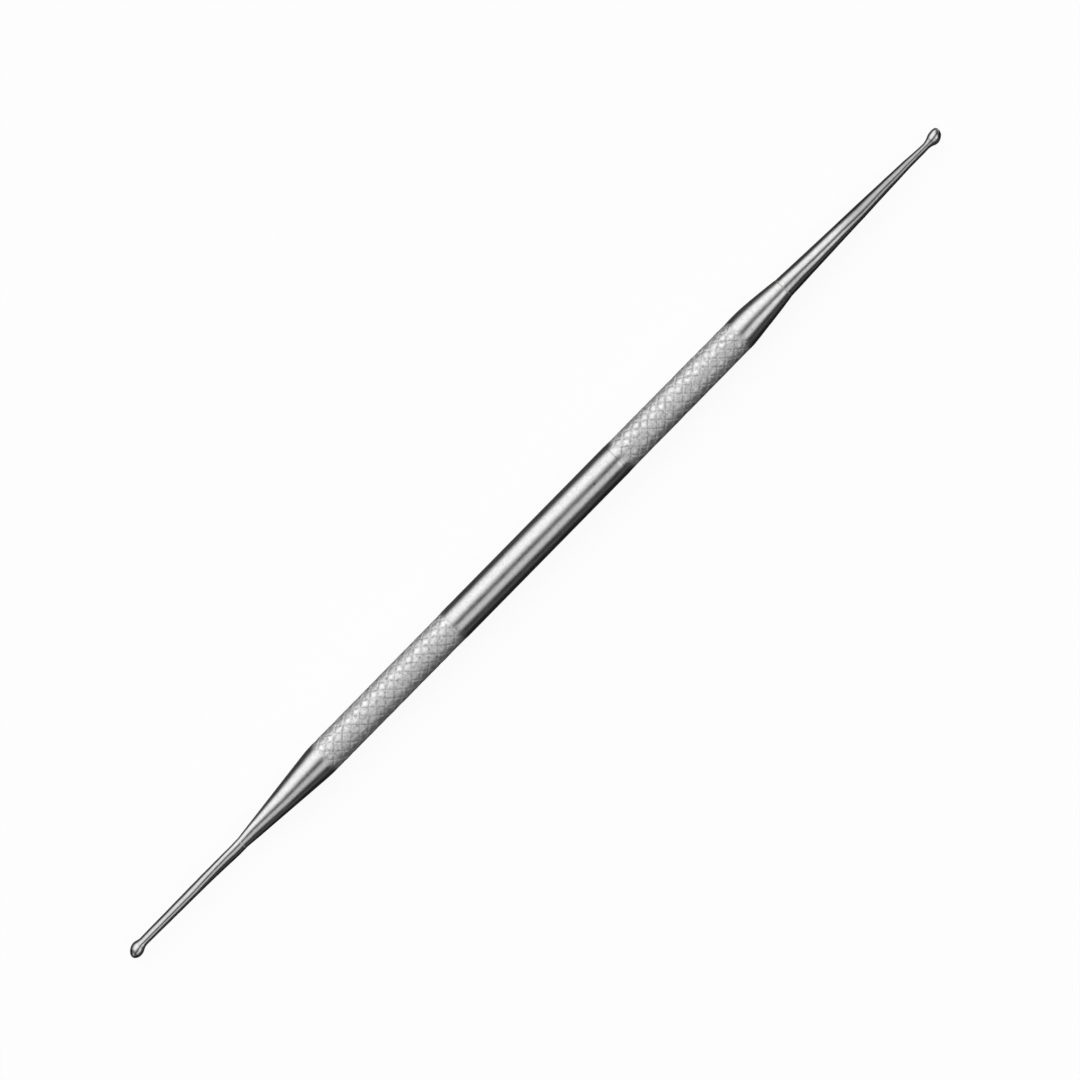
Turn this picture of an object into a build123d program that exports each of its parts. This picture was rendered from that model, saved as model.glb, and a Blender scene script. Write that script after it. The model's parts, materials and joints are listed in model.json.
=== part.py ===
from build123d import *
import math
import os

# A double-ended cuticle pusher: a round steel handle with a hardened working end brazed into each nose.
# Each working end is a shank that flares into a small solid bulb, convex all round.
# X runs along the tool from the slim end to the tapered end. The tool is round, so Y and Z are alike.
# The origin is on the handle's axis, at the middle of the smooth grip. Millimetres throughout.

# Handle, turned from one bar
BAR_DIAMETER = 4.0
GRIP_LENGTH = 25.6
KNURL_DIAMETER_BY_GRIP = 3.96
KNURL_DIAMETER_BY_NOSE = 3.90
SLIM_KNURL_LENGTH = 20.8
TAPERED_KNURL_LENGTH = 19.8
SLIM_NOSE_LENGTH = 12.3
SLIM_NOSE_TIP_DIAMETER = 1.42
TAPERED_NOSE_LENGTH = 6.1
TAPERED_NOSE_TIP_DIAMETER = 2.58
NOSE_BLEND_RADIUS = 16.0

# Brazed joints: a tang fills the bore up to the drill point, and a ring of braze closes the seam
SLIM_TANG_DIAMETER = 1.0
SLIM_TANG_LENGTH = 9.0
TAPERED_TANG_DIAMETER = 1.8
TAPERED_TANG_LENGTH = 10.0
TANG_TIP_CHAMFER = 0.2
BORE_SPARE_DEPTH = 0.4
DRILL_POINT_ANGLE = 118
BRAZE_WIDTH = 0.2
BRAZE_STAND_PROUD = 0.02

# Slim working end, with an egg-shaped bulb; lengths are measured from the seam
SLIM_SHANK_ROOT_DIAMETER = 1.36
SLIM_SHANK_NECK_DIAMETER = 1.04
SLIM_BULB_DIAMETER = 1.56
SLIM_BULB_MIDDLE = 16.36
SLIM_BULB_HALF_LENGTH = 1.04
SLIM_BULB_END_RADIUS = 0.60
SLIM_FLARE_RADIUS = 1.6

# Tapered working end, with a bulb whose end is ground off blunt
TAPERED_SHANK_ROOT_DIAMETER = 2.50
TAPERED_SHANK_NECK_DIAMETER = 0.82
TAPERED_BULB_DIAMETER = 1.50
TAPERED_BULB_MIDDLE = 23.46
TAPERED_BULB_HALF_LENGTH = 1.04
TAPERED_BULB_END_RADIUS = 0.60
TAPERED_FLARE_RADIUS = 2.4
BLUNT_GRIND = 0.10
BLUNT_EDGE_RADIUS = 0.10

# Places along the axis
HALF_GRIP = GRIP_LENGTH / 2
SLIM_NOSE_START = -(HALF_GRIP + SLIM_KNURL_LENGTH)
SLIM_SEAM = SLIM_NOSE_START - SLIM_NOSE_LENGTH
TAPERED_NOSE_START = HALF_GRIP + TAPERED_KNURL_LENGTH
TAPERED_SEAM = TAPERED_NOSE_START + TAPERED_NOSE_LENGTH


def turned(points, blended=(), blend_radius=0):
    """A solid of revolution about X from (x, radius) corners, with the corners in `blended` rounded."""
    profile = make_face(Polyline(*points, close=True))
    for corner in blended:
        vertex = profile.vertices().sort_by_distance((*corner, 0))[0]
        profile = fillet(vertex, blend_radius)
    return revolve(profile, Axis.X)


def along_x(solid, start, direction):
    """Place a solid built from x = 0 towards +X so that it starts at `start` and runs in `direction`."""
    if direction < 0:
        solid = solid.rotate(Axis.Z, 180)
    return solid.translate((start, 0, 0))


def bore(diameter, depth):
    """A drilled blind hole from x = 0 towards +X, with its drill point."""
    radius = diameter / 2
    point_length = radius / math.tan(math.radians(DRILL_POINT_ANGLE / 2))
    return turned([(0, 0), (0, radius), (depth, radius), (depth + point_length, 0)])


def knurled_handle():
    """The handle bar: smooth grip, two knurled bands at crest diameter, two noses, two bores."""
    bar_radius = BAR_DIAMETER / 2
    crest_by_grip = KNURL_DIAMETER_BY_GRIP / 2
    slim_shoulder = (SLIM_NOSE_START, KNURL_DIAMETER_BY_NOSE / 2)
    tapered_shoulder = (TAPERED_NOSE_START, KNURL_DIAMETER_BY_NOSE / 2)
    outline = [
        (SLIM_SEAM, 0),
        (SLIM_SEAM, SLIM_NOSE_TIP_DIAMETER / 2),
        slim_shoulder,
        (-HALF_GRIP, crest_by_grip),
        (-HALF_GRIP, bar_radius),
        (HALF_GRIP, bar_radius),
        (HALF_GRIP, crest_by_grip),
        tapered_shoulder,
        (TAPERED_SEAM, TAPERED_NOSE_TIP_DIAMETER / 2),
        (TAPERED_SEAM, 0),
    ]
    blank = turned(outline, (slim_shoulder, tapered_shoulder), NOSE_BLEND_RADIUS)
    slim_bore = bore(SLIM_TANG_DIAMETER, SLIM_TANG_LENGTH + BORE_SPARE_DEPTH)
    tapered_bore = bore(TAPERED_TANG_DIAMETER, TAPERED_TANG_LENGTH + BORE_SPARE_DEPTH)
    return blank - along_x(slim_bore, SLIM_SEAM, 1) - along_x(tapered_bore, TAPERED_SEAM, -1)


def bulb_outline(neck_diameter, bulb, ground_off):
    """The arcs of a bulb's outline, each tangent to the last: a hollow flare, a long crown and the end."""
    diameter, middle, half_length, end_radius, flare_radius = bulb
    height = diameter / 2
    # the crown's radius makes it level at the middle and tangent to the end, whose centre is on the axis
    end_centre = half_length - end_radius
    crown_radius = (end_centre ** 2 + height ** 2 - end_radius ** 2) / (2 * (height - end_radius))
    crown_turn = math.degrees(math.asin(end_centre / (crown_radius - end_radius)))
    rise = height - neck_diameter / 2
    span = flare_radius + crown_radius
    flare_run = math.sqrt(2 * span * rise - rise ** 2)
    flare_turn = math.degrees(math.asin(flare_run / span))
    cut_turn = math.degrees(math.acos(1 - ground_off / end_radius))
    flare = JernArc((middle - flare_run, neck_diameter / 2), (1, 0), flare_radius, flare_turn)
    crown = JernArc(flare @ 1, flare % 1, crown_radius, -flare_turn - crown_turn)
    end = JernArc(crown @ 1, crown % 1, end_radius, -(90 - crown_turn - cut_turn))
    return [flare, crown, end]


def working_end(tang, shank, bulb, ground_off=0):
    """Tang, shank and bulb in one turned piece, from the seam at x = 0 towards +X."""
    tang_diameter, tang_length = tang
    root_diameter, neck_diameter = shank
    tang_radius = tang_diameter / 2
    arcs = bulb_outline(neck_diameter, bulb, ground_off)
    straight = Polyline(
        (-tang_length, 0),
        (-tang_length, tang_radius - TANG_TIP_CHAMFER),
        (-tang_length + TANG_TIP_CHAMFER, tang_radius),
        (BRAZE_WIDTH, tang_radius),
        (BRAZE_WIDTH, root_diameter / 2),
        arcs[0] @ 0,
    )
    end = arcs[-1] @ 1
    if not ground_off:
        return revolve(make_face([straight, *arcs, Line(end, (-tang_length, 0))]), Axis.X)
    flat = Line(end, (end.X, 0))
    profile = make_face([straight, *arcs, flat, Line(flat @ 1, (-tang_length, 0))])
    edge = profile.vertices().sort_by_distance(end)[0]
    return revolve(fillet(edge, BLUNT_EDGE_RADIUS), Axis.X)


def braze_ring(tang_diameter, nose_diameter, root_diameter):
    """The ring of braze between a nose and a shank's shoulder, from x = 0 towards +X."""
    inner = tang_diameter / 2
    nose_radius = nose_diameter / 2
    root_radius = root_diameter / 2
    crown = (BRAZE_WIDTH / 2, (nose_radius + root_radius) / 2 + BRAZE_STAND_PROUD)
    outline = [
        Line((0, inner), (0, nose_radius)),
        ThreePointArc((0, nose_radius), crown, (BRAZE_WIDTH, root_radius)),
        Line((BRAZE_WIDTH, root_radius), (BRAZE_WIDTH, inner)),
        Line((BRAZE_WIDTH, inner), (0, inner)),
    ]
    return revolve(make_face(outline), Axis.X)


def slim_working_end():
    tang = (SLIM_TANG_DIAMETER, SLIM_TANG_LENGTH)
    shank = (SLIM_SHANK_ROOT_DIAMETER, SLIM_SHANK_NECK_DIAMETER)
    bulb = (SLIM_BULB_DIAMETER, SLIM_BULB_MIDDLE, SLIM_BULB_HALF_LENGTH, SLIM_BULB_END_RADIUS,
            SLIM_FLARE_RADIUS)
    return along_x(working_end(tang, shank, bulb), SLIM_SEAM, -1)


def tapered_working_end():
    tang = (TAPERED_TANG_DIAMETER, TAPERED_TANG_LENGTH)
    shank = (TAPERED_SHANK_ROOT_DIAMETER, TAPERED_SHANK_NECK_DIAMETER)
    bulb = (TAPERED_BULB_DIAMETER, TAPERED_BULB_MIDDLE, TAPERED_BULB_HALF_LENGTH, TAPERED_BULB_END_RADIUS,
            TAPERED_FLARE_RADIUS)
    return along_x(working_end(tang, shank, bulb, BLUNT_GRIND), TAPERED_SEAM, 1)


def slim_braze_ring():
    ring = braze_ring(SLIM_TANG_DIAMETER, SLIM_NOSE_TIP_DIAMETER, SLIM_SHANK_ROOT_DIAMETER)
    return along_x(ring, SLIM_SEAM, -1)


def tapered_braze_ring():
    ring = braze_ring(TAPERED_TANG_DIAMETER, TAPERED_NOSE_TIP_DIAMETER, TAPERED_SHANK_ROOT_DIAMETER)
    return along_x(ring, TAPERED_SEAM, 1)


os.makedirs("parts", exist_ok=True)
pieces = (knurled_handle, slim_working_end, tapered_working_end, slim_braze_ring, tapered_braze_ring)
for piece in pieces:
    export_step(piece(), f"parts/{piece.__name__}.step")
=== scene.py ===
"""Looks of a double-ended cuticle pusher: a knurled steel handle with two brazed working ends."""
import bpy
import json
import math
import numpy as np
from mathutils import Matrix, Vector, noise


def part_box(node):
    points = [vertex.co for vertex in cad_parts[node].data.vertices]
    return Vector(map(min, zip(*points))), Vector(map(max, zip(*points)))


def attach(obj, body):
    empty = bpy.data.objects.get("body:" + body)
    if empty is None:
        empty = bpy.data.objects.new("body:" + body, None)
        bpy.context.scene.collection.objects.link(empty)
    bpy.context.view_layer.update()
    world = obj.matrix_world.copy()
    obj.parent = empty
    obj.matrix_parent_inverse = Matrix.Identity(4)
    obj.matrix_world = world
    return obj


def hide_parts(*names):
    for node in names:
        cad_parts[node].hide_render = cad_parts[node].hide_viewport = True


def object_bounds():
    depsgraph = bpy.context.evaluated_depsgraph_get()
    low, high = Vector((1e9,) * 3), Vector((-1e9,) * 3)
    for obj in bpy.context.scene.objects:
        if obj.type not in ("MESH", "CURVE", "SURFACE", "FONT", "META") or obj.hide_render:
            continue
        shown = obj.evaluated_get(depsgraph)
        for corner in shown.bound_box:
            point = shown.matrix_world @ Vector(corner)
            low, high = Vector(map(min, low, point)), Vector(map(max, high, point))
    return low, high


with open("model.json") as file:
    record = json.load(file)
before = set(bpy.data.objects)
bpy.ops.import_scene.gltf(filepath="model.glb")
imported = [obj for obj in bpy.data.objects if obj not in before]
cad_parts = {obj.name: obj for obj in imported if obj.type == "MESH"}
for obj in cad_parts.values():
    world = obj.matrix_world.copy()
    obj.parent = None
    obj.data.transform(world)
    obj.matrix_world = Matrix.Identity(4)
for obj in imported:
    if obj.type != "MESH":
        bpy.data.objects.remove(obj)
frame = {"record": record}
cad_low, cad_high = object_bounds()

MM = 0.001

# Places along the tool and the bar's radius, from the frame
handle_low, handle_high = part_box("knurled_handle")
SLIM_SEAM, TAPERED_SEAM = handle_low.x, handle_high.x
SLIM_TIP, SLIM_TANG_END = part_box("slim_working_end")[0].x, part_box("slim_working_end")[1].x
TAPERED_TANG_END, TAPERED_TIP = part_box("tapered_working_end")[0].x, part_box("tapered_working_end")[1].x
SLIM_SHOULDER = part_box("slim_braze_ring")[0].x
TAPERED_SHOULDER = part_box("tapered_braze_ring")[1].x
BAR_RADIUS = handle_high.z
GRIP = next(mount for mount in frame["record"]["mounts"] if mount["name"] == "grip")
HALF_GRIP = GRIP["dims"]["length_mm"] * MM / 2

# Handle: a nose swells by its belly, halfway along, over a straight cone
SLIM_NOSE_START = -33.6 * MM
TAPERED_NOSE_START = 32.6 * MM
SLIM_NOSE_TIP_RADIUS = 0.69 * MM
SLIM_NOSE_BELLY = 0.02 * MM
TAPERED_NOSE_TIP_RADIUS = 1.29 * MM
TAPERED_NOSE_BELLY = 0.045 * MM
CREST_BY_GRIP = 1.98 * MM
CREST_BY_NOSE = 1.95 * MM
NOSE_ROUNDING = 0.10 * MM
SLIM_TANG_RADIUS = 0.5 * MM
TAPERED_TANG_RADIUS = 0.9 * MM
BORE_SPARE_DEPTH = 0.4 * MM
DRILL_POINT_SLOPE = math.tan(math.radians(59))

# Diamond knurl: two crossing sets of narrow V grooves with flat diamonds left between them.
# Each pitch has a whole number of mesh steps along the bar and around it, so grooves follow mesh diagonals.
KNURL_STARTS = 9
KNURL_PITCH = 1.348 * MM
STEPS_PER_PITCH = 14
COLUMNS = KNURL_STARTS * STEPS_PER_PITCH
ROW = KNURL_PITCH / STEPS_PER_PITCH
GROOVE_DEPTH = 0.050 * MM
# the share of that depth at 0, 1 and 2 mesh steps from a groove's middle, and the share that the second set
# of grooves has of the first one's depth
GROOVE_STEPS = (0, 1, 2)
GROOVE_PROFILE = (1.0, 0.42, 0.0)
SECOND_SET = 0.85
# how much the grooves vary in depth, how unevenly the whole band is worn down, and the length of its fade
RAGGEDNESS = 0.7
UNEVENNESS = 0.024 * MM
KNURL_FADE = 1.3 * MM

# Each band: where its grooves cross, along the tool and in mesh columns around it, and its two faded ends
SLIM_BAND = {"crossing": 0.672 * MM, "column": 35, "start": -12.3 * MM, "end": -33.6 * MM}
TAPERED_BAND = {"crossing": -0.102 * MM, "column": 33, "start": 12.8 * MM, "end": 32.3 * MM}

# Rows of the handle's mesh outside the bands: their spacing, how far the bands' fine rows go on past the
# start of a nose, and the gaps left where the two kinds of row meet
COARSE_ROW = 0.5 * MM
BORE_ROW = 2.0 * MM
FINE_ROWS_PAST_NOSE = 1.1 * MM
NOSE_ROW_GAP = 0.1 * MM
GRIP_ROW_GAP = 0.02 * MM

# Shanks: radii of the tang, the root and the neck, and how dull its coarser ground part is, from where on
SLIM_SHANK = {"tang": SLIM_TANG_RADIUS, "root": 0.70 * MM, "neck": 0.52 * MM,
              "dull": 0.35, "dull_from": 0.0}
TAPERED_SHANK = {"tang": TAPERED_TANG_RADIUS, "root": 1.25 * MM, "neck": 0.41 * MM,
                 "dull": 1.0, "dull_from": 7.0 * MM}
DULL_FADE = 5 * MM
TANG_CHAMFER = 0.2 * MM

# Bulbs: the radius at the widest place, half the length, the radii of the end and of the flare into the
# neck, how much is ground off the end, the lean to +Y for each step outwards, and its start from the tip
SLIM_BULB = {"radius": 0.78 * MM, "half_length": 1.04 * MM, "end": 0.56 * MM, "flare": 1.6 * MM,
             "ground_off": 0.0, "lean": -0.17, "leaning": 1.65 * MM}
TAPERED_BULB = {"radius": 0.74 * MM, "half_length": 1.04 * MM, "end": 0.58 * MM, "flare": 2.2 * MM,
                "ground_off": 0.10 * MM, "lean": 0.30, "leaning": 0.9 * MM}
LEAN_SOFTNESS = 0.4 * MM
EDGE_ROUNDING = 0.12 * MM

# Hand grinding: dents in the bulbs, waves along the shanks that start near the shoulder, and sections that
# become slightly taller than they are wide
DENTS = 0.014 * MM
WAVES = 0.009 * MM
WAVES_RUN_IN = 1.0 * MM
SHANK_OVAL = 0.12
OVAL_RUN_IN = 3 * MM

# Mesh of the working ends: its rows are even along the shank, closer over the bulb and closest at the tip
END_COLUMNS = 128
SHANK_ROW = 0.25 * MM
BULB_ROWS = 78
TIP_LENGTH = 0.4 * MM
TIP_ROWS = 58

# Braze rings: how far the outside dips, how uneven it is, and the mesh
BRAZE_DIP = 0.01 * MM
BRAZE_RAGGEDNESS = 0.012 * MM
BRAZE_COLUMNS = 96
BRAZE_ROWS = 9

# Each kind of unevenness in shape: the size of its features, and a seed. The handle's two kinds are taken
# from a plain cylinder of the given radius.
NOISE_RADIUS = 2 * MM
UNEVEN_NOISE = (0.7 * MM, 2)
RAGGED_NOISE = (0.6 * MM, 3)
WAVE_NOISE = (1.0 * MM, 5)
BRAZE_NOISE = (0.5 * MM, 8)
DENT_NOISE = (0.5 * MM, 11)

SHARP_ANGLE = math.radians(40)

# How far the tool's own line stands off its axis, as hand-ground ends wander: (x, y) in millimetres
CENTRE_LINE = [
    (-61.5, -0.01), (-57.0, -0.05), (-52.0, -0.08), (-49.5, -0.13), (-47.0, -0.20), (-43.8, -0.155),
    (-38.8, -0.07), (-34.0, 0.0), (32.0, 0.0), (34.0, 0.09), (38.7, 0.115), (44.7, 0.07), (53.5, 0.02),
    (57.9, -0.02), (60.3, -0.11), (61.4, -0.11),
]

# How far the sections lean: (x in millimetres, step to +Y for each step up)
SECTION_LEAN = [
    (-61.0, -0.14), (-57.0, -0.10), (-53.5, -0.09), (-51.0, 0.06), (-48.5, 0.18), (-46.0, 0.22),
    (-44.2, 0.22), (-43.2, 0.16), (-41.5, 0.08), (-39.5, 0.0), (41.0, 0.0), (43.5, -0.05), (47.6, -0.08),
    (50.9, -0.2), (54.0, -0.10), (57.0, -0.12), (60.0, 0.0),
]


# ---------------------------------------------------------------- numbers

def smooth_step(x, low, high):
    t = np.clip((x - low) / (high - low), 0.0, 1.0)
    return t * t * (3 - 2 * t)


def smooth_min(a, b, width):
    """The smaller of a and b, with the corner between them rounded over `width`."""
    h = np.clip(0.5 + 0.5 * (b - a) / width, 0.0, 1.0)
    return b + (a - b) * h - width * h * (1 - h)


def spaced(start, end, step):
    """Places from start to end, both included, about `step` apart."""
    count = max(2, int(round(abs(end - start) / step)) + 1)
    return list(np.linspace(start, end, count))


def angles_round(columns):
    return np.arange(columns) * 2 * math.pi / columns


def noise_at(points, size, seed):
    """Smooth noise from -1 to 1 at each point of an (n, 3) array, with features of about `size`."""
    shift = Vector((seed * 17.3, seed * 5.1, seed * 9.7))
    return np.array([noise.noise(Vector(p) / size + shift) for p in points])


def along_tool(x, table):
    """The value of a table of (x in millimetres, value) at x."""
    return np.interp(np.asarray(x) / MM, [row[0] for row in table], [row[1] for row in table])


def place(x, across, up):
    """Points of a section that is centred on the tool's own, slightly wandering line."""
    y = along_tool(x, CENTRE_LINE) * MM + across + along_tool(x, SECTION_LEAN) * up
    return np.stack(np.broadcast_arrays(x, y, up), -1)


def rings_of(profile, angle):
    """One ring of points for each (x, radius) of a profile. A radius is a number, or one for each angle."""
    return np.array([place(x, radius * np.cos(angle), radius * np.sin(angle)) for x, radius in profile])


# ---------------------------------------------------------------- meshes

def new_piece(name, points, faces):
    mesh = bpy.data.meshes.new(name)
    mesh.from_pydata(points, [], faces)
    mesh.validate()
    mesh.update()
    piece = bpy.data.objects.new(name, mesh)
    bpy.context.scene.collection.objects.link(piece)
    return piece


def closed_skin(name, rings, poles, cuts=None):
    """A closed mesh over rings of equal point counts, with a pole before the first and after the last.

    `cuts` says, for each cell, whether it is cut from its first corner; else the shorter diagonal is taken.
    """
    count, columns, _ = rings.shape
    points = np.concatenate([rings.reshape(-1, 3), np.array(poles)])
    first_pole, last_pole = count * columns, count * columns + 1
    row = np.arange(columns)
    after = (row + 1) % columns
    faces = []
    for i in range(count - 1):
        a, b = i * columns + row, i * columns + after
        d, c = a + columns, b + columns
        if cuts is None:
            from_first = np.linalg.norm(points[a] - points[c], axis=1)
            from_second = np.linalg.norm(points[b] - points[d], axis=1)
            cut_first = (from_first <= from_second)[:, None]
        else:
            cut_first = cuts[i][:, None]
        faces.append(np.where(cut_first, np.stack([a, c, b], 1), np.stack([a, d, b], 1)))
        faces.append(np.where(cut_first, np.stack([a, d, c], 1), np.stack([b, d, c], 1)))
    faces.append(np.stack([np.full(columns, first_pole), row, after], 1))
    last = (count - 1) * columns
    faces.append(np.stack([np.full(columns, last_pole), last + after, last + row], 1))
    return new_piece(name, points.tolist(), np.concatenate(faces).tolist())


def closed_loop(name, rings):
    """A ring-shaped mesh whose last ring joins its first."""
    count, columns, _ = rings.shape
    faces = []
    for i in range(count):
        this, following = i * columns, (i + 1) % count * columns
        for j in range(columns):
            after = (j + 1) % columns
            faces.append((this + j, following + j, following + after, this + after))
    return new_piece(name, rings.reshape(-1, 3).tolist(), faces)


def set_attribute(piece, name, values, start):
    """Give the points from number `start` on a value that the materials read; all others get 0."""
    whole = np.zeros(len(piece.data.vertices), np.float32)
    whole[start:start + values.size] = values.ravel()
    piece.data.attributes.new(name, "FLOAT", "POINT").data.foreach_set("value", whole)


def finish_piece(piece, node, material):
    """Normals outwards, shading smooth up to an angle, and the piece tied to the frame."""
    mesh = piece.data
    mesh.materials.append(material)
    bpy.context.view_layer.objects.active = piece
    piece.select_set(True)
    bpy.ops.object.mode_set(mode="EDIT")
    bpy.ops.mesh.select_all(action="SELECT")
    bpy.ops.mesh.normals_make_consistent(inside=False)
    bpy.ops.object.mode_set(mode="OBJECT")
    mesh.shade_smooth()
    mesh.set_sharp_from_angle(angle=SHARP_ANGLE)
    piece.select_set(False)
    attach(piece, "root")
    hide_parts(node)


# ---------------------------------------------------------------- handle

def cone_radius(distance, length, tip_radius, belly):
    """A nose's radius at a distance from its seam; beyond its length the cone goes on."""
    slope = (CREST_BY_NOSE - tip_radius) / length
    run = np.clip(distance / length, 0, 1)
    return tip_radius + distance * slope + belly * 4 * run * (1 - run)


def nose_radius(x):
    """The turned outline of the two noses, without the knurl, at x."""
    slim_length, tapered_length = SLIM_NOSE_START - SLIM_SEAM, TAPERED_SEAM - TAPERED_NOSE_START
    slim = cone_radius(x - SLIM_SEAM, slim_length, SLIM_NOSE_TIP_RADIUS, SLIM_NOSE_BELLY)
    tapered = cone_radius(TAPERED_SEAM - x, tapered_length, TAPERED_NOSE_TIP_RADIUS, TAPERED_NOSE_BELLY)
    return np.minimum(slim, tapered)


def crest_radius(x):
    """The radius of the grip, and of the knurl's crests, which falls slightly towards the noses."""
    run = np.clip((np.abs(x) - HALF_GRIP) / (-SLIM_NOSE_START - HALF_GRIP), 0, 1)
    crest = CREST_BY_GRIP + (CREST_BY_NOSE - CREST_BY_GRIP) * run
    return np.where(np.abs(x) < HALF_GRIP, BAR_RADIUS, crest)


def groove_cut(x, angle, band):
    """How far the grooves go below the diamonds, and how near the middle of a diamond it is, from 0 to 1."""
    around = KNURL_STARTS * angle / (2 * math.pi) - band["column"] / STEPS_PER_PITCH
    along = (x - band["crossing"]) / KNURL_PITCH
    cut, off = np.zeros_like(around), np.full_like(around, 0.5)
    for phase, share in ((around + along, 1.0), (around - along, SECOND_SET)):
        away = np.abs((phase + 0.5) % 1.0 - 0.5)
        cut = np.maximum(cut, share * np.interp(away * STEPS_PER_PITCH, GROOVE_STEPS, GROOVE_PROFILE))
        off = np.minimum(off, away)
    return GROOVE_DEPTH * cut, 2 * off


def knurled(x, band):
    """1 inside a knurled band, falling to 0 at its two ends."""
    inner = smooth_step(np.abs(x), abs(band["start"]), abs(band["start"]) + KNURL_FADE)
    outer = smooth_step(np.abs(x), abs(band["end"]) - KNURL_FADE, abs(band["end"]))
    return inner * (1 - outer)


def handle_surface(x, angle):
    """The handle's radius, and what its material reads.

    That is the depth of cut in millimetres, and from 0 to 1 how far up a diamond and how far into a band.
    """
    spots = np.stack([x, NOISE_RADIUS * np.cos(angle), NOISE_RADIUS * np.sin(angle)], -1).reshape(-1, 3)
    uneven = noise_at(spots, *UNEVEN_NOISE).reshape(x.shape)
    ragged = noise_at(spots, *RAGGED_NOISE).reshape(x.shape)
    cut, crest, inside = np.zeros_like(x), np.zeros_like(x), np.zeros_like(x)
    for side, band in ((-1, SLIM_BAND), (1, TAPERED_BAND)):
        here = np.where(x * side > 0, knurled(x, band), 0)
        grooves, up = groove_cut(x, angle, band)
        cut += here * (grooves * (1 + RAGGEDNESS * ragged) + UNEVENNESS * (1 + uneven))
        crest += here * up
        inside += here
    radius = smooth_min(crest_radius(x) - cut, nose_radius(x), NOSE_ROUNDING)
    return np.minimum(radius, BAR_RADIUS), cut / MM, crest, inside


def band_rows(band, start, end):
    """Rows of the mesh through a knurled band, in step with its grooves."""
    first = math.ceil((start - band["crossing"]) / ROW)
    last = math.floor((end - band["crossing"]) / ROW)
    return [band["crossing"] + i * ROW for i in range(first, last + 1)]


def outside_rows():
    """Places of all rows along the outside of the handle, from seam to seam."""
    slim_fine = SLIM_NOSE_START - FINE_ROWS_PAST_NOSE
    tapered_fine = TAPERED_NOSE_START + FINE_ROWS_PAST_NOSE
    rows = spaced(SLIM_SEAM, slim_fine - NOSE_ROW_GAP, COARSE_ROW)
    rows += band_rows(SLIM_BAND, slim_fine, -HALF_GRIP)
    rows += spaced(-HALF_GRIP + GRIP_ROW_GAP, HALF_GRIP - GRIP_ROW_GAP, COARSE_ROW)
    rows += band_rows(TAPERED_BAND, HALF_GRIP, tapered_fine)
    rows += spaced(tapered_fine + NOSE_ROW_GAP, TAPERED_SEAM, COARSE_ROW)
    return np.array(rows)


def make_handle(material):
    """The handle in one closed mesh, from the bottom of one bore, along the outside, into the other."""
    slim_bottom = SLIM_TANG_END + BORE_SPARE_DEPTH
    tapered_bottom = TAPERED_TANG_END - BORE_SPARE_DEPTH
    slim_bore = [(x, SLIM_TANG_RADIUS) for x in spaced(slim_bottom, SLIM_SEAM, BORE_ROW)]
    tapered_bore = [(x, TAPERED_TANG_RADIUS) for x in spaced(TAPERED_SEAM, tapered_bottom, BORE_ROW)]
    angle = angles_round(COLUMNS)
    x, a = np.meshgrid(outside_rows(), angle, indexing="ij")
    radius, cut, crest, band = handle_surface(x, a)
    outside = place(x, radius * np.cos(a), radius * np.sin(a))
    rings = np.concatenate([rings_of(slim_bore, angle), outside, rings_of(tapered_bore, angle)])

    # a cell of the outside is cut along the diagonal that lies nearer the true surface at its middle
    middle = handle_surface((x[:-1] + x[1:]) / 2, a[:-1] + math.pi / COLUMNS)[0]
    near, far = radius[:-1], radius[1:]
    forward = np.abs((near + np.roll(far, -1, 1)) / 2 - middle)
    backward = np.abs((np.roll(near, -1, 1) + far) / 2 - middle)
    first, last = len(slim_bore), len(slim_bore) + len(outside) - 1
    cuts = np.ones((len(rings) - 1, COLUMNS), bool)
    cuts[first:last] = forward <= backward

    slim_point = slim_bottom + SLIM_TANG_RADIUS / DRILL_POINT_SLOPE
    tapered_point = tapered_bottom - TAPERED_TANG_RADIUS / DRILL_POINT_SLOPE
    piece = closed_skin("handle", rings, [place(slim_point, 0, 0), place(tapered_point, 0, 0)], cuts)
    for attribute, values in (("groove", cut), ("crest", crest), ("knurl", band)):
        set_attribute(piece, attribute, values, first * COLUMNS)
    finish_piece(piece, "knurled_handle", material)


# ---------------------------------------------------------------- working ends

def end_radius(s, reach, shank, bulb):
    """The radius of a shank and its bulb at distances `s` from the shoulder, and where the flare starts."""
    root_radius, neck_radius = shank["root"], shank["neck"]
    height, half_length, tip_radius, flare = bulb["radius"], bulb["half_length"], bulb["end"], bulb["flare"]
    middle = reach - half_length + bulb["ground_off"]
    end_centre = half_length - tip_radius
    crown = (end_centre ** 2 + height ** 2 - tip_radius ** 2) / (2 * (height - tip_radius))
    end_start = end_centre * crown / (crown - tip_radius)
    rise = height - neck_radius
    flare_run = math.sqrt(2 * (flare + crown) * rise - rise ** 2)
    flare_start = middle - flare_run
    flare_end = middle - flare_run * crown / (flare + crown)

    def arc(centre, radius):
        return np.sqrt(np.clip(radius ** 2 - (s - centre) ** 2, 0, None))

    straight = root_radius + (neck_radius - root_radius) * np.clip(s / flare_start, 0, 1)
    radius = np.where(s < flare_start, straight, neck_radius + flare - arc(flare_start, flare))
    radius = np.where(s < flare_end, radius, height - crown + arc(middle, crown))
    radius = np.where(s < middle + end_start, radius, arc(middle + end_centre, tip_radius))
    return radius, flare_start


def round_edge(radius, from_tip):
    """The radius with the edge of a ground end rounded in a small quarter circle."""
    closing = np.clip(from_tip / EDGE_ROUNDING, 0, 1)
    edge = radius[-1] - EDGE_ROUNDING * (1 - np.sqrt(1 - (1 - closing) ** 2))
    return np.where(closing < 1, np.minimum(radius, edge), radius)


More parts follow.
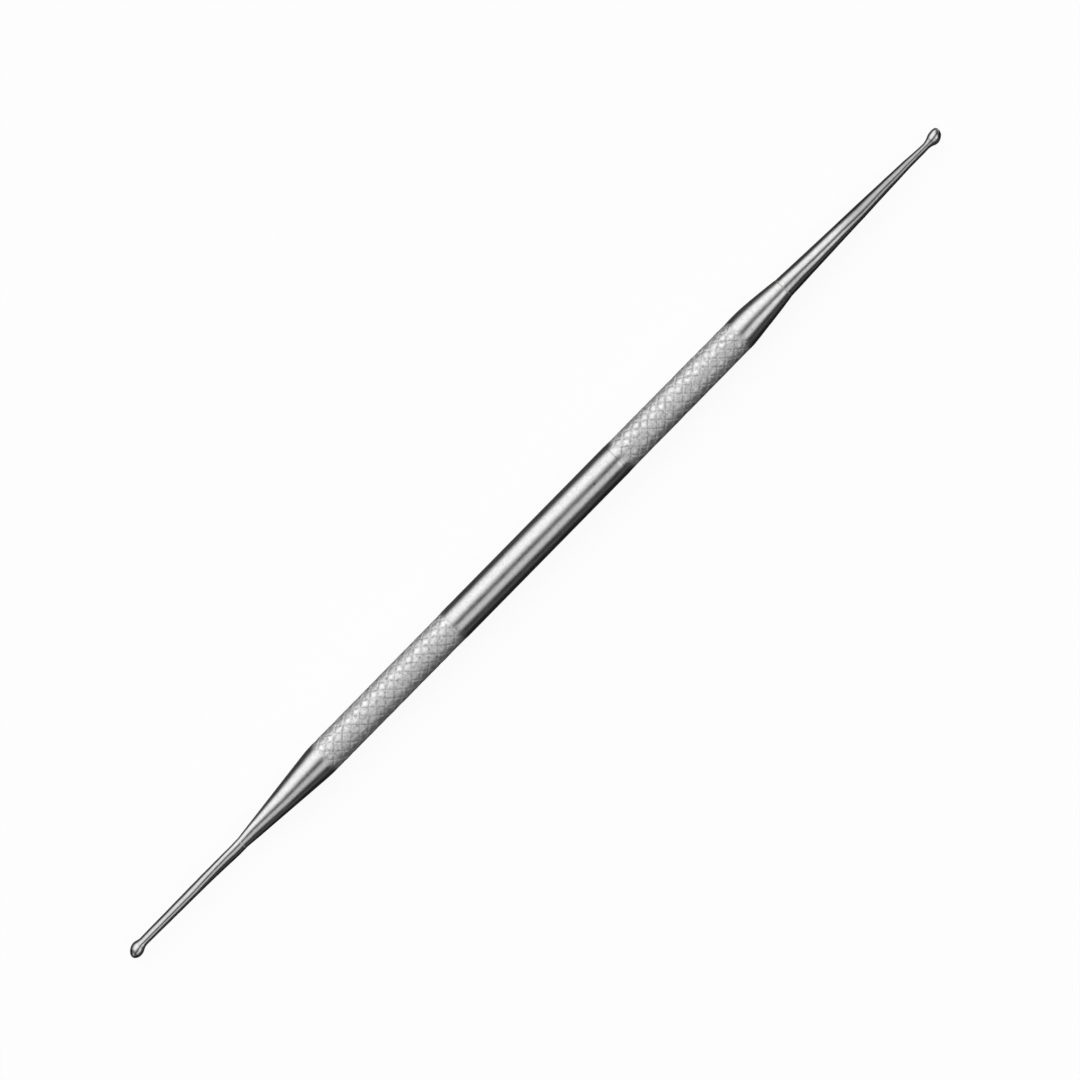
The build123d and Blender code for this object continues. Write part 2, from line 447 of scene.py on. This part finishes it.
def end_rows(reach, bulb):
    """Distances of the mesh's rows from the shoulder, closer together the nearer they are to the tip."""
    bulb_start = reach - 3 * bulb["half_length"]
    tip_start = reach - TIP_LENGTH
    turn = np.linspace(0, math.pi / 2, TIP_ROWS + 2)[1:-1]
    return np.concatenate([
        spaced(0, bulb_start, SHANK_ROW),
        np.linspace(bulb_start, tip_start, BULB_ROWS + 2)[1:-1],
        reach - TIP_LENGTH * (1 - np.sin(turn)),
    ])


def make_working_end(name, node, material, places, shank, bulb):
    """A tang, a shank and a bulb in one closed mesh. Places run outwards along the tool."""
    tang_end, shoulder, tip = places
    side = 1 if tip > shoulder else -1
    reach = abs(tip - shoulder)
    s = end_rows(reach, bulb)
    radius, flare_start = end_radius(s, reach, shank, bulb)
    if bulb["ground_off"]:
        radius = round_edge(radius, reach - s)
    on_shank = 1 - smooth_step(s, flare_start, reach - bulb["half_length"])

    # hand grinding leaves a shank slightly taller than it is wide, except at its two ends
    angle = angles_round(END_COLUMNS)
    oval = 1 + SHANK_OVAL * smooth_step(s, 0, OVAL_RUN_IN) * on_shank
    across = np.cos(angle)[None, :] * radius[:, None]
    up = np.sin(angle)[None, :] * (radius * oval)[:, None]

    # and it leaves waves along the shank and dents in the bulb, which die out towards the very tip
    along = np.broadcast_to(s[:, None], (len(s), END_COLUMNS))
    spots = np.stack([along, across, up], -1).reshape(-1, 3)
    wavy = WAVES * noise_at(spots, *WAVE_NOISE).reshape(across.shape)
    dented = DENTS * noise_at(spots, *DENT_NOISE).reshape(across.shape)
    on_bulb = smooth_step(along, flare_start, flare_start + bulb["flare"] / 2)
    uneven = wavy * smooth_step(along, 0, WAVES_RUN_IN) + dented * on_bulb
    uneven *= np.minimum(1, radius / shank["neck"])[:, None]
    swelling = 1 + uneven / np.maximum(radius, shank["neck"])[:, None]

    run = s - (reach - bulb["leaning"])
    lean = bulb["lean"] * (run + np.sqrt(run ** 2 + LEAN_SOFTNESS ** 2)) / 2
    body = place(shoulder + side * along, lean[:, None] + across * swelling, up * swelling)
    tang = rings_of([
        (tang_end, shank["tang"] - TANG_CHAMFER),
        (tang_end + side * TANG_CHAMFER, shank["tang"]),
        (shoulder, shank["tang"]),
    ], angle)
    poles = [place(tang_end, 0, 0), place(tip, lean[-1], 0)]
    piece = closed_skin(name, np.concatenate([tang, body]), poles)
    dull = shank["dull"] * smooth_step(s, shank["dull_from"], shank["dull_from"] + DULL_FADE) * on_shank
    set_attribute(piece, "dull", np.repeat(dull, END_COLUMNS), len(tang) * END_COLUMNS)
    finish_piece(piece, node, material)


def make_braze_ring(name, node, material, start, end, nose_tip_radius, shank):
    """A ring of braze with a slightly hollow, uneven outside, from the nose at start to the shank at end."""
    angle = angles_round(BRAZE_COLUMNS)
    outside = []
    for t in np.linspace(0, 1, BRAZE_ROWS):
        x = start + (end - start) * t
        radius = nose_tip_radius + (shank["root"] - nose_tip_radius) * t
        radius -= BRAZE_DIP * math.sin(math.pi * t ** 2)
        circle = [np.full(BRAZE_COLUMNS, x), radius * np.cos(angle), radius * np.sin(angle)]
        ragged = BRAZE_RAGGEDNESS * noise_at(np.stack(circle, 1), *BRAZE_NOISE) * math.sin(math.pi * t)
        outside.append((x, radius + ragged))
    profile = [(start, shank["tang"])] + outside + [(end, shank["tang"])]
    piece = closed_loop(name, rings_of(profile, angle))
    finish_piece(piece, node, material)


# ---------------------------------------------------------------- materials

# The range that a noise texture mostly keeps to, and how rough its finer layers are
NOISE_RANGE = (0.3, 0.7)
NOISE_ROUGHNESS = 0.55


class Nodes:
    """Short calls for building a node tree."""

    def __init__(self, tree):
        self.tree = tree
        self.tree.nodes.clear()

    def add(self, kind, **settings):
        node = self.tree.nodes.new(kind)
        for key, value in settings.items():
            setattr(node, key, value)
        return node

    def link(self, source, target):
        self.tree.links.new(source, target)

    def math(self, operation, a, b=None):
        node = self.add("ShaderNodeMath", operation=operation)
        for socket, value in zip(node.inputs, (a, b)):
            if isinstance(value, (int, float)):
                socket.default_value = value
            elif value is not None:
                self.link(value, socket)
        return node.outputs[0]

    def attribute(self, name):
        return self.add("ShaderNodeAttribute", attribute_name=name).outputs["Fac"]

    def scaled_position(self, scale):
        """Object coordinates, stretched by a different factor along each axis."""
        coordinates = self.add("ShaderNodeTexCoord")
        mapping = self.add("ShaderNodeMapping")
        mapping.inputs["Scale"].default_value = scale
        self.link(coordinates.outputs["Object"], mapping.inputs["Vector"])
        return mapping.outputs["Vector"]

    def noise(self, scale, detail):
        node = self.add("ShaderNodeTexNoise")
        node.inputs["Scale"].default_value = 1.0
        node.inputs["Detail"].default_value = detail
        node.inputs["Roughness"].default_value = NOISE_ROUGHNESS
        self.link(self.scaled_position(scale), node.inputs["Vector"])
        return node.outputs["Fac"]

    def ramp(self, value, low, high, out_low, out_high, interpolation="LINEAR"):
        """The value, moved from between low and high to between out_low and out_high, and kept there."""
        node = self.add("ShaderNodeMapRange", interpolation_type=interpolation)
        limits = {"From Min": low, "From Max": high, "To Min": out_low, "To Max": out_high}
        for key, number in limits.items():
            node.inputs[key].default_value = number
        self.link(value, node.inputs["Value"])
        return node.outputs["Result"]

    def times(self, value, factor, amount):
        """The value, multiplied by `factor` where `amount` is 1 and unchanged where it is 0."""
        return self.math("MULTIPLY", value, self.ramp(amount, 0.0, 1.0, 1.0, factor))

    def plus(self, value, more, amount):
        """The value, with `more` added where `amount` is 1 and unchanged where it is 0."""
        return self.math("ADD", value, self.ramp(amount, 0.0, 1.0, 0.0, more))

    def colour(self, red, green, blue):
        node = self.add("ShaderNodeCombineColor")
        for socket, value in zip(node.inputs, (red, green, blue)):
            self.link(value, socket)
        return node.outputs["Color"]

    def bump(self, height, distance, strength, below=None):
        """Bumps of this height, on top of other bumps where `below` is given."""
        node = self.add("ShaderNodeBump")
        node.inputs["Distance"].default_value = distance
        node.inputs["Strength"].default_value = strength
        self.link(height, node.inputs["Height"])
        if below is not None:
            self.link(below, node.inputs["Normal"])
        return node.outputs["Normal"]


def new_material(name):
    """A new material, its node builder, and its shader, already joined to the output."""
    material = bpy.data.materials.new(name)
    material.use_nodes = True
    n = Nodes(material.node_tree)
    output = n.add("ShaderNodeOutputMaterial")
    shader = n.add("ShaderNodeBsdfPrincipled")
    n.link(shader.outputs["BSDF"], output.inputs["Surface"])
    return material, n, shader


# Textures of the steel: features for each metre along the tool, across it and up. A speck fades out between
# two distances from the middle of its cell, and only a cell where a noise is over SPECK_CHANCE has one.
PATCH_SCALE = (500, 1400, 1400)
TURNING_SCALE = (26000, 900, 900)
POLISHING_SCALE = (2600, 60000, 60000)
MOTTLE_SCALE = (3200, 3200, 3200)
SPECK_SCALE = (700, 700, 700)
SPECK_CHANCE_SCALE = (900, 900, 900)
SPECK_EDGE = (0.06, 0.12)
SPECK_CHANCE = 0.62

# The steel's tone and roughness: how patches vary them, and what knurl, worn crests, grooves, specks and
# coarse grinding do to them. A groove gets painted shade, which darkens it between two depths of cut, in
# millimetres.
TONE_SPREAD = 0.03
ROUGHNESS_SPREAD = (-0.03, 0.05)
WORN_CREST = (0.35, 0.90)
KNURL_TONE, WORN_TONE, SPECK_TONE, DULL_TONE = 1.29, 1.22, 0.35, 0.60
GROOVE_SHADE_DEPTHS = (0.03, 0.07)
GROOVE_PAINTED_SHADE = 0.93
SMOOTH_MOTTLE, KNURL_MOTTLE = 0.10, 0.28
KNURL_ROUGHNESS, WORN_ROUGHNESS = 0.36, -0.20
MARK_HEIGHT = 0.002 * MM
POLISHING_SHARE = 0.35

# Silver braze: paler and softer than the steel, with a faint warm cast
BRAZE_SCALE = (4000, 4000, 4000)
BRAZE_TONE = (0.72, 0.86)
BRAZE_GREEN, BRAZE_BLUE = 0.985, 0.94
BRAZE_ROUGHNESS = (0.34, 0.48)
BRAZE_BUMP_HEIGHT, BRAZE_BUMP = 0.004 * MM, 0.5


def steel(name, tone, roughness, marks):
    """Bright steel: uneven tone and polish, fine tool marks round the bar and along it, a few specks, and
    shade painted into the knurl's grooves.
    """
    material, n, shader = new_material(name)
    patches = n.noise(PATCH_SCALE, detail=4.0)
    knurl, dull = n.attribute("knurl"), n.attribute("dull")
    worn = n.ramp(n.attribute("crest"), *WORN_CREST, 0.0, 1.0)

    specks = n.add("ShaderNodeTexVoronoi", feature="F1")
    specks.inputs["Scale"].default_value = 1.0
    n.link(n.scaled_position(SPECK_SCALE), specks.inputs["Vector"])
    dots = n.ramp(specks.outputs["Distance"], *SPECK_EDGE, 1.0, 0.0)
    chance = n.math("GREATER_THAN", n.noise(SPECK_CHANCE_SCALE, detail=0.0), SPECK_CHANCE)
    dots = n.math("MULTIPLY", dots, chance)
    mottle = n.ramp(n.noise(MOTTLE_SCALE, detail=2.0), *NOISE_RANGE, -1.0, 1.0)
    mottle = n.math("MULTIPLY", mottle, n.ramp(knurl, 0.0, 1.0, SMOOTH_MOTTLE, KNURL_MOTTLE))

    value = n.ramp(patches, *NOISE_RANGE, tone - TONE_SPREAD, tone + TONE_SPREAD)
    value = n.times(value, KNURL_TONE, knurl)
    value = n.times(value, WORN_TONE, worn)
    # painted shade: the base colour is darkened where the knurl's grooves are cut deep
    value = n.math("MULTIPLY", value, n.ramp(n.attribute("groove"), *GROOVE_SHADE_DEPTHS, 1.0, GROOVE_PAINTED_SHADE))
    value = n.times(value, SPECK_TONE, dots)
    value = n.math("MULTIPLY", value, n.math("ADD", mottle, 1.0))
    value = n.times(value, DULL_TONE, dull)
    n.link(n.colour(value, value, value), shader.inputs["Base Color"])

    smoothest, roughest = (roughness + spread for spread in ROUGHNESS_SPREAD)
    rough = n.ramp(patches, *NOISE_RANGE, smoothest, roughest)
    rough = n.plus(rough, KNURL_ROUGHNESS, knurl)
    rough = n.plus(rough, WORN_ROUGHNESS, worn)
    n.link(rough, shader.inputs["Roughness"])
    shader.inputs["Metallic"].default_value = 1.0

    turned = n.bump(n.noise(TURNING_SCALE, detail=2.0), MARK_HEIGHT, marks)
    polishing = n.noise(POLISHING_SCALE, detail=2.0)
    n.link(n.bump(polishing, MARK_HEIGHT, POLISHING_SHARE * marks, turned), shader.inputs["Normal"])
    return material


def braze(name):
    material, n, shader = new_material(name)
    patches = n.noise(BRAZE_SCALE, detail=3.0)
    tone = n.ramp(patches, *NOISE_RANGE, *BRAZE_TONE)
    green, blue = n.math("MULTIPLY", tone, BRAZE_GREEN), n.math("MULTIPLY", tone, BRAZE_BLUE)
    n.link(n.colour(tone, green, blue), shader.inputs["Base Color"])
    n.link(n.ramp(patches, *NOISE_RANGE, *BRAZE_ROUGHNESS), shader.inputs["Roughness"])
    shader.inputs["Metallic"].default_value = 1.0
    n.link(n.bump(patches, BRAZE_BUMP_HEIGHT, BRAZE_BUMP), shader.inputs["Normal"])
    return material


# ---------------------------------------------------------------- studio

# Camera straight above, turned about Z: the width that it sees, and where it stands, to its right and up
CAMERA_LENS = 200.0
SENSOR_WIDTH = 36.0
VIEW_WIDTH = 118.15 * MM
TOOL_TURN = math.radians(45.5)
CENTRE_RIGHT, CENTRE_UP = 0.496 * MM, 0.237 * MM

# Soft panels all along the tool: (centre, half width, soft edge, radiance), angles in degrees from
# overhead, negative towards +Y
PANELS = [
    (-49, 34, 20, 1.66), (92, 9, 7, 0.11), (-125, 25, 20, 0.04), (-180, 27, 13, 0.30), (180, 20, 10, 0.12),
]
# One more panel, which becomes brighter towards +X: the X of the directions between which it does so, and
# how many times as bright it is at the end
FILL_PANEL = (35, 19, 10, 0.90)
FILL_RISE = (0.03, 0.28, 1.7)
ROOM_LIGHT = 0.015
# The panels fade towards the tool's own direction, and a dimmer panel stands across each end: the X of the
# directions between which each changes, the share of light left, and the end panel's share
END_FADE = (0.38, 0.76)
END_SHARE = 0.12
END_RISE = (0.86, 0.96)
END_PANEL = 0.40
BACKGROUND = 0.98

FLOOR_HALF_SIZE = 3.0
FLOOR_GREY = 0.12
FLOOR_ROUGHNESS = 0.9
FLOOR_GLOW = 0.92


def make_camera():
    data = bpy.data.cameras.new("camera")
    data.lens = CAMERA_LENS
    data.sensor_width = SENSOR_WIDTH
    data.clip_start, data.clip_end = 0.01, 10.0
    camera = bpy.data.objects.new("camera", data)
    bpy.context.scene.collection.objects.link(camera)
    turn = Matrix.Rotation(-TOOL_TURN, 4, "Z")
    distance = VIEW_WIDTH * CAMERA_LENS / SENSOR_WIDTH
    camera.matrix_world = turn @ Matrix.Translation((CENTRE_RIGHT, CENTRE_UP, distance))
    bpy.context.scene.camera = camera


def make_world():
    """Studio light that varies around the tool and along it, and a pale backdrop for the camera."""
    world = bpy.data.worlds.new("studio")
    bpy.context.scene.world = world
    world.use_nodes = True
    n = Nodes(world.node_tree)
    direction = n.add("ShaderNodeSeparateXYZ")
    n.link(n.add("ShaderNodeTexCoord").outputs["Generated"], direction.inputs[0])
    sideways = n.math("MULTIPLY", direction.outputs["Y"], -1)
    angle = n.math("DEGREES", n.math("ARCTAN2", sideways, direction.outputs["Z"]))

    def panel(centre, half_width, edge, radiance):
        off = n.math("ABSOLUTE", n.math("SUBTRACT", angle, centre))
        return n.ramp(off, half_width - edge, half_width + edge, radiance, 0, "SMOOTHSTEP")

    start, end, times = FILL_RISE
    rise = n.ramp(direction.outputs["X"], start, end, 1, times, "SMOOTHSTEP")
    light = n.math("ADD", ROOM_LIGHT, n.math("MULTIPLY", panel(*FILL_PANEL), rise))
    for shape in PANELS:
        light = n.math("ADD", light, panel(*shape))
    lengthwise = n.math("ABSOLUTE", direction.outputs["X"])
    share = n.ramp(lengthwise, *END_FADE, 1, END_SHARE, "SMOOTHSTEP")
    share = n.math("ADD", share, n.ramp(lengthwise, *END_RISE, 0, END_PANEL, "SMOOTHSTEP"))

    around = n.add("ShaderNodeBackground")
    n.link(n.math("MULTIPLY", light, share), around.inputs["Strength"])
    seen = n.add("ShaderNodeBackground")
    seen.inputs["Strength"].default_value = BACKGROUND
    mix = n.add("ShaderNodeMixShader")
    n.link(n.add("ShaderNodeLightPath").outputs["Is Camera Ray"], mix.inputs["Fac"])
    n.link(around.outputs[0], mix.inputs[1])
    n.link(seen.outputs[0], mix.inputs[2])
    n.link(mix.outputs[0], n.add("ShaderNodeOutputWorld").inputs["Surface"])


def make_floor():
    """A pale, faintly glowing floor that the tool lies on, and that its steel doesn't mirror."""
    half = FLOOR_HALF_SIZE
    corners = [(-half, -half, 0), (half, -half, 0), (half, half, 0), (-half, half, 0)]
    floor = new_piece("floor", corners, [(0, 1, 2, 3)])
    floor.location.z = cad_low.z
    material, _, shader = new_material("pale_floor")
    shader.inputs["Base Color"].default_value = (FLOOR_GREY, FLOOR_GREY, FLOOR_GREY, 1)
    shader.inputs["Roughness"].default_value = FLOOR_ROUGHNESS
    shader.inputs["Specular IOR Level"].default_value = 0.0
    shader.inputs["Emission Color"].default_value = (1, 1, 1, 1)
    shader.inputs["Emission Strength"].default_value = FLOOR_GLOW
    floor.data.materials.append(material)
    floor.visible_glossy = False


# ---------------------------------------------------------------- the tool and its studio

handle_steel = steel("handle_steel_look", tone=0.70, roughness=0.27, marks=0.25)
tool_steel = steel("tool_steel_look", tone=0.66, roughness=0.24, marks=0.15)
silver_braze = braze("silver_braze_look")
slim_places = (SLIM_TANG_END, SLIM_SHOULDER, SLIM_TIP)
tapered_places = (TAPERED_TANG_END, TAPERED_SHOULDER, TAPERED_TIP)
make_handle(handle_steel)
make_working_end("slim_end", "slim_working_end", tool_steel,
                 slim_places, SLIM_SHANK, SLIM_BULB)
make_working_end("tapered_end", "tapered_working_end", tool_steel,
                 tapered_places, TAPERED_SHANK, TAPERED_BULB)
make_braze_ring("slim_braze", "slim_braze_ring", silver_braze,
                SLIM_SEAM, SLIM_SHOULDER, SLIM_NOSE_TIP_RADIUS, SLIM_SHANK)
make_braze_ring("tapered_braze", "tapered_braze_ring", silver_braze,
                TAPERED_SEAM, TAPERED_SHOULDER, TAPERED_NOSE_TIP_RADIUS, TAPERED_SHANK)
make_camera()
make_world()
make_floor()
bpy.context.scene.view_settings.view_transform = "Standard"
